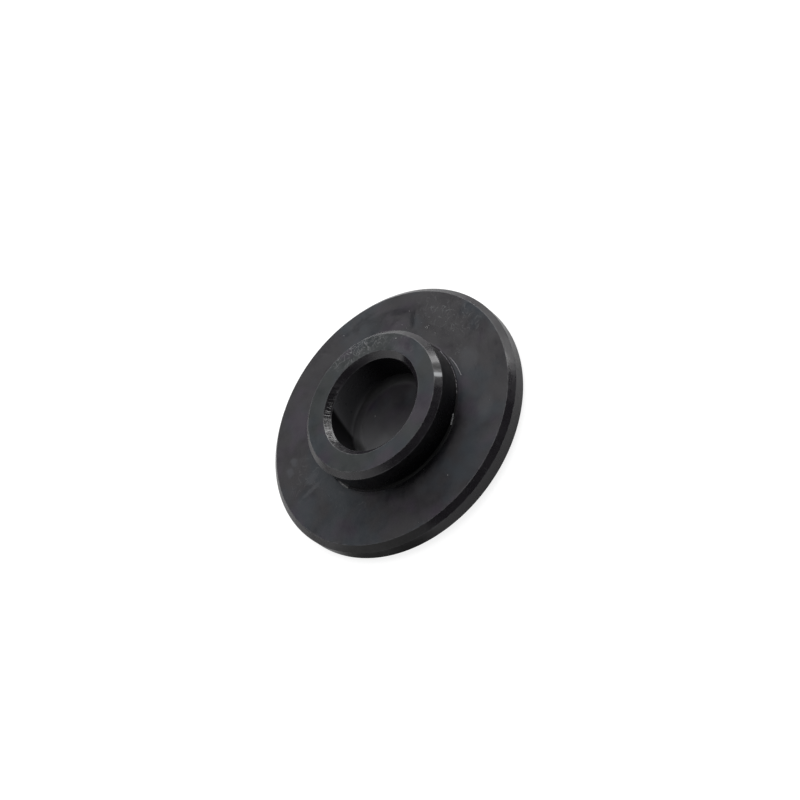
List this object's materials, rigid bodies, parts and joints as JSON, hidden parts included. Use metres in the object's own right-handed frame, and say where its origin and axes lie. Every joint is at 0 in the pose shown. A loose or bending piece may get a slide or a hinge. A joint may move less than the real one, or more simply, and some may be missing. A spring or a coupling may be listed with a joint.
{
  "type": "suspension spacer",
  "caption": "Turned black plastic spacer: a round flange with a smaller boss and a blind recess, all edges chamfered.",
  "frame": {"origin": "centre of the flange's back face, which the spacer stands on", "axes": "+Z along the turning axis, from the back face towards the boss's end; X and Y are any two directions across the round flange"},
  "size_m": [0.05, 0.05, 0.0098],
  "materials": {
    "black_plastic": "turned, satin black"
  },
  "bodies": {
    "root": {"spacer_body": "black_plastic"}
  },
  "joints": []
}
